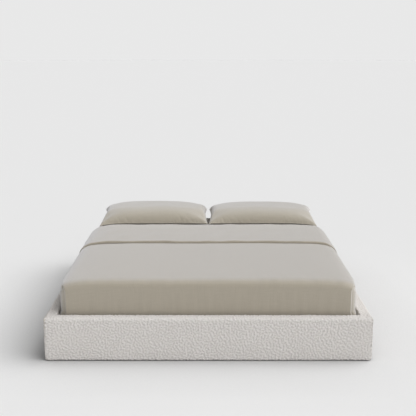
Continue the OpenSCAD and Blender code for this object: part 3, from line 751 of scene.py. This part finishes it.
# %% Pillow bag and simulation
BAG_LENGTH, BAG_WIDTH = 0.950, 0.545
BOWED_ENDS, BOWED_SIDES, SLACK = 0.009, 0.006, 0.020
BAG_ROWS, BAG_COLUMNS = 111, 67
STEPS = 11


def flat_bag(seed):
    """Two grids over the same rectangle, sewn along their rims: z = +-SLACK, plus a little noise, times a dome that
    is 0 at the rim. The ends and sides are cut slightly bowed, fullest at their middles."""
    u, v = np.meshgrid(np.linspace(-1, 1, BAG_ROWS), np.linspace(-1, 1, BAG_COLUMNS), indexing="ij")
    dome = (1 - u**2) * (1 - v**2)
    uneven = ripples(u, v, seed, 12, 0.5, 2.0)
    x = u * (BAG_LENGTH / 2 + BOWED_ENDS * (1 - v**2))
    y = v * (BAG_WIDTH / 2 + BOWED_SIDES * (1 - u**2))
    upper = np.stack([x, y, dome * (SLACK + 0.004 * uneven)], axis=-1).reshape(-1, 3)
    lower = np.stack([x, y, dome * (-SLACK + 0.004 * uneven)], axis=-1).reshape(-1, 3)
    quads = np.concatenate([grid_quads(BAG_ROWS, BAG_COLUMNS),
                            grid_quads(BAG_ROWS, BAG_COLUMNS, offset=BAG_ROWS * BAG_COLUMNS)[:, ::-1]])
    return np.concatenate([upper, lower]), quads, np.concatenate([upper[:, :2], lower[:, :2] + (2.0, 0)])


CLOTH = dict(quality=5, mass=0.15, air_damping=1.0, tension_stiffness=15.0, compression_stiffness=15.0,
             shear_stiffness=7.5, bending_stiffness=1.5, tension_damping=5.0, compression_damping=5.0,
             shear_damping=5.0, bending_damping=0.5, use_pressure=True, uniform_pressure_force=4.0)


def inflate(piece):
    """Blows the bag up as cloth for STEPS frames and gives the points; the Cloth modifier is removed again."""
    cloth = piece.modifiers.new("cloth", "CLOTH")
    settings = cloth.settings
    for name, value in CLOTH.items():
        setattr(settings, name, value)
    settings.effector_weights.gravity = 0
    cloth.collision_settings.use_collision = cloth.collision_settings.use_self_collision = False
    scene.frame_start, scene.frame_end = 1, STEPS
    cloth.point_cache.frame_start, cloth.point_cache.frame_end = 1, STEPS
    for f in range(1, STEPS + 1):
        scene.frame_set(f)
    done = piece.evaluated_get(bpy.context.evaluated_depsgraph_get())
    points = np.zeros(len(piece.data.vertices) * 3)
    done.data.vertices.foreach_get("co", points)
    piece.modifiers.clear()
    scene.frame_set(1)
    return points.reshape(-1, 3)


# %% Set the pillows down
PILLOW_CENTRE_Y, PILLOW_SEAM = 0.757, 0.562
RISE, SINK, ROUNDNESS = 0.108, 0.070, 0.92
PROUD = np.array([0.014, 0.006])
SWUNG, WAIST, SOFT_CONTACT = 0.8, 0.020, 0.005


def bedding_under(x, y):
    """The height of what the pillow lies on: the band's top in front, then the sheet behind the band's fold."""
    band_top = COVER_TOP - side_fall(COVER_SIDE - np.abs(x)) + BAND_THICK + 0.0010
    sheet_top = sheet_upper(np.clip(x, -0.96, 0.96), np.clip(y, COVER_REAR + 0.001, 1.01)) + 0.0015
    return sheet_top + (band_top - sheet_top) * step(y, BAND_REAR + 0.055, BAND_REAR + 0.004)


def make_pillow(side, sign, seed):
    """The blown-up bag scaled to the CAD solid's outline plus PROUD, drawn in by WAIST at its outer end and swung
    by SWUNG degrees. A point's height over the seam is RISE, or SINK below it, times (its share of the fullest
    puff) to the power ROUNDNESS; a soft maximum of that and the bedding's height keeps the pillow on the bed."""
    points, quads, uv = flat_bag(seed)
    piece = make_piece("pillowcase_" + side + "_cloth", points, quads, uv, inside=(0, 0, 0))
    shape = inflate(piece)
    low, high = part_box("pillowcase_" + side)
    most, least = shape.max(axis=0)[:2], shape.min(axis=0)[:2]
    room = np.array([high.x - low.x, high.y - low.y]) + PROUD
    x, y = ((shape[:, :2] - (most + least) / 2) * room / (most - least)).T
    puff = shape[:, 2] / np.abs(shape[:, 2]).max()
    lift = np.sign(puff) * np.abs(puff) ** ROUNDNESS
    turned = math.radians(-SWUNG * sign)
    x = x - sign * WAIST * step(sign * x, 0.25, 0.46) * np.clip(1 - (y / 0.24) ** 2, 0, 1)
    px = (low.x + high.x) / 2 + x * math.cos(turned) - y * math.sin(turned)
    py = PILLOW_CENTRE_Y + x * math.sin(turned) + y * math.cos(turned)
    seam = PILLOW_SEAM - 0.030 * step(-y, 0.10, 0.26) - 0.002 * step(y, 0.15, 0.26)
    seam = seam - 0.8 * side_fall(COVER_SIDE - np.abs(px)) * step(-y, -0.2, 0.1)
    z = seam + np.where(lift > 0, RISE * lift, SINK * lift)
    ground = bedding_under(px, py) + 0.0012
    z = ground + SOFT_CONTACT * np.logaddexp(0, (z - ground) / SOFT_CONTACT)
    piece.data.vertices.foreach_set("co", np.stack([px, py, z], axis=1).astype(np.float32).ravel())
    piece.data.update()
    smooth = piece.modifiers.new("finer", "SUBSURF")
    smooth.levels = smooth.render_levels = 1
    piece.data.materials.append(pillow_linen)
    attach(piece, "pillow_" + side)
    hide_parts("pillowcase_" + side, "pillow_insert_" + side)
    print("pillow", side, "box", [[round(float(v.min()), 3), round(float(v.max()), 3)] for v in (px, py, z)])


make_pillow("left", -1, 51)
make_pillow("right", 1, 52)


# %% [markdown]
# ## Wood
#
# The slats are planed spruce, the rails' ladder frames are rough-sawn softwood, and the panels are plywood. Wood
# grain is noise stretched along the board: broad bands for the year rings and fine streaks for the pores. The
# group works on the Object coordinates, turned by each finish so that the grain runs along its boards.

# %% Wood group and finishes
wood, wood_in, wood_out = new_group(
    "wood_grain",
    [("Vector", "Vector", None), ("Light", "Color", (0.7, 0.5, 0.3, 1)), ("Dark", "Color", (0.5, 0.3, 0.15, 1)),
     ("Ring scale", "Float", 28.0)],
    [("Color", "Color"), ("Height", "Float")])
long_grain = vectors(wood, "MULTIPLY", wood_in.outputs["Vector"], (0.06, 1, 1))
bend = noise(wood, long_grain, 6.0, 2.0)
parts_of = put(wood, "SeparateXYZ", {0: long_grain})
ring_at = maths(wood, "ADD", maths(wood, "MULTIPLY", parts_of.outputs[1], wood_in.outputs["Ring scale"]),
                maths(wood, "MULTIPLY", bend, 7.0))
rings = maths(wood, "POWER", maths(wood, "FRACT", maths(wood, "ADD", ring_at, parts_of.outputs[2])), 2.5)
streaks = noise(wood, vectors(wood, "MULTIPLY", wood_in.outputs["Vector"], (4, 260, 260)), 1.0, 4.0)
grain = maths(wood, "ADD", maths(wood, "MULTIPLY", rings, 0.6), maths(wood, "MULTIPLY", streaks, 0.45))
wood.links.new(blend_colours(wood, grain, wood_in.outputs["Light"], wood_in.outputs["Dark"]), wood_out.inputs["Color"])
wood.links.new(grain, wood_out.inputs["Height"])


def wood_finish(name, light, dark, ring_scale, turn=(0, 0, 0), roughness=0.6):
    material, tree, shader = finish_of(name, {"Roughness": roughness, "Specular IOR Level": 0.35})
    place = put(tree, "Mapping", {"Vector": put(tree, "TexCoord").outputs["Object"], "Rotation": turn}).outputs[0]
    group = put(tree, "Group", {"Vector": place, "Light": light, "Dark": dark, "Ring scale": ring_scale},
                node_tree=wood)
    tree.links.new(group.outputs["Color"], shader.inputs["Base Color"])
    bump_into(tree, shader, group.outputs["Height"], 0.25, 0.0008)
    return material


QUARTER = math.pi / 2
slat_wood = wood_finish("planed_spruce", rgba(0.66, 0.50, 0.31), rgba(0.47, 0.31, 0.16), 26.0, roughness=0.5)
softwood_x = wood_finish("softwood_cross", rgba(0.58, 0.42, 0.25), rgba(0.40, 0.26, 0.13), 34.0)
softwood_y = wood_finish("softwood_long", rgba(0.58, 0.42, 0.25), rgba(0.40, 0.26, 0.13), 34.0, (0, 0, QUARTER))
plywood_x = wood_finish("plywood_cross", rgba(0.55, 0.41, 0.26), rgba(0.42, 0.29, 0.17), 12.0)
plywood_y = wood_finish("plywood_long", rgba(0.55, 0.41, 0.26), rgba(0.42, 0.29, 0.17), 12.0, (0, 0, QUARTER))


# %% [markdown]
# ## Metal, plastic, foam and webbing
#
# The brackets, screws and inserts are zinc-plated, a metal with blotchy crystals. The centre beam and legs are
# powder-coated black, which has a fine orange-peel skin. Foam is open-celled, webbing is a coarse weave, and the
# mattress cover under the sheet is a pale quilted ticking.

# %% Metal and plastic finishes
def speckled(name, colour, other, scale, metallic, roughness, spread, relief, distance, detail_scale):
    """Base colour between two tones by noise, roughness that wanders by spread, and a fine bumpy skin."""
    material, tree, shader = finish_of(name, {"Metallic": metallic})
    place = put(tree, "TexCoord").outputs["Object"]
    broad = noise(tree, place, scale, 4.0, 0.6)
    fine = noise(tree, place, detail_scale, 2.0)
    tree.links.new(blend_colours(tree, broad, colour, other), shader.inputs["Base Color"])
    tree.links.new(maths(tree, "MULTIPLY_ADD", broad, spread, roughness - spread / 2), shader.inputs["Roughness"])
    bump_into(tree, shader, fine, relief, distance)
    return material


zinc = speckled("zinc_plate", rgba(0.62, 0.63, 0.64), rgba(0.46, 0.47, 0.49),
                60, 1.0, 0.38, 0.25, 0.2, 0.0003, 500)
black_bolt = speckled("black_oxide", rgba(0.05, 0.05, 0.052), rgba(0.09, 0.088, 0.085),
                      90, 0.9, 0.42, 0.2, 0.2, 0.0002, 700)
black_steel = speckled("powder_black", rgba(0.028, 0.028, 0.03), rgba(0.04, 0.04, 0.042),
                       12, 0.0, 0.5, 0.15, 0.5, 0.0003, 420)
dark_plastic = speckled("moulded_black", rgba(0.03, 0.03, 0.03), rgba(0.05, 0.05, 0.05),
                        40, 0.0, 0.48, 0.2, 0.4, 0.0003, 600)
foam = speckled("open_foam", rgba(0.74, 0.70, 0.55), rgba(0.66, 0.61, 0.46),
                260, 0.0, 0.95, 0.05, 0.9, 0.002, 380)
fibre = speckled("fibre_fill", rgba(0.82, 0.82, 0.80), rgba(0.72, 0.72, 0.70),
                 55, 0.0, 0.97, 0.03, 0.8, 0.004, 130)


# %% Webbing and ticking finishes
def flat_weave(name, colour, per_metre, contrast, relief, quilt):
    """The weave on Object coordinates, for the CAD's own flat pieces; quilt adds stitched diamonds 90 mm apart."""
    material, tree, shader = finish_of(name, {"Roughness": 0.8, "Sheen Weight": 0.2, "Specular IOR Level": 0.3})
    place = put(tree, "TexCoord").outputs["Object"]
    group = put(tree, "Group", {"Vector": place, "Color": colour, "Threads per metre": per_metre, "Slub": 0.3,
                                "Contrast": contrast}, node_tree=weave)
    height = group.outputs["Height"]
    if quilt:
        axes = put(tree, "SeparateXYZ", {0: place})
        ridges = []
        for operation in ("ADD", "SUBTRACT"):
            slanted = maths(tree, "MULTIPLY", maths(tree, operation, axes.outputs[0], axes.outputs[1]), math.pi / 0.09)
            ridges.append(maths(tree, "ABSOLUTE", maths(tree, "SINE", slanted)))
        pillowed = maths(tree, "POWER", maths(tree, "MULTIPLY", *ridges), 0.4)
        height = maths(tree, "ADD", maths(tree, "MULTIPLY", pillowed, 9.0), maths(tree, "MULTIPLY", height, 0.3))
    tree.links.new(group.outputs["Color"], shader.inputs["Base Color"])
    bump_into(tree, shader, height, relief, 0.0008)
    return material


webbing = flat_weave("polyester_webbing", rgba(0.09, 0.09, 0.10), 450, 0.5, 0.8, False)
ticking = flat_weave("quilted_ticking", rgba(0.74, 0.73, 0.71), 900, 0.1, 0.9, True)


# %% [markdown]
# ## Hand out the finishes
#
# The record says which slot each CAD node takes its finish from. Going through that list gives every carried-over
# node its material. The rails that run along the bed take the wood whose grain runs that way.

# %% Finishes on the CAD nodes
FINISHES = {"boucle": boucle, "softwood": softwood_x, "plywood": plywood_x, "foam": foam, "zinc_steel": zinc,
            "black_bolts": black_bolt, "black_steel": black_steel, "dark_plastic": dark_plastic,
            "slat_wood": slat_wood, "webbing": webbing, "ticking": ticking, "sheet_cotton": sheet_cotton,
            "linen": linen, "pillow_fill": fibre, "pillow_linen": pillow_linen}
LONG_WOOD = {"softwood": softwood_y, "plywood": plywood_y}
for part in frame["record"]["subparts"]:
    node, slot_name = frame["nodes"][part["node"]], part["material_slot"]
    lengthwise = part["node"].startswith(("left_", "right_"))
    node.data.materials.clear()
    node.data.materials.append(LONG_WOOD.get(slot_name, FINISHES[slot_name]) if lengthwise else FINISHES[slot_name])

# %% Floor: painted shade, the floor's colour darker close to the bed, where less light gets in
PAINTED_SHADE_REACH, PAINTED_SHADE_SHARE, PAINTED_SHADE_TONE = 0.75, 0.75, 0.10
floor_painted_shade_finish, floor_tree, floor_shader = finish_of("matt_floor_painted_shade", {"Roughness": 1.0, "Specular IOR Level": 0.0})
# painted shade: ambient occlusion darkens the floor's base colour near the bed
near = put(floor_tree, "AmbientOcclusion", {"Distance": PAINTED_SHADE_REACH}, samples=8).outputs["AO"]
near = maths(floor_tree, "MULTIPLY_ADD", near, PAINTED_SHADE_SHARE, 1 - PAINTED_SHADE_SHARE)
floor_colour_with_painted_shade = blend_colours(floor_tree, near, rgba(*[FLOOR_TONE * PAINTED_SHADE_TONE] * 3), rgba(*[FLOOR_TONE] * 3))
floor_tree.links.new(floor_colour_with_painted_shade, floor_shader.inputs["Base Color"])
floor.data.materials.append(floor_painted_shade_finish)
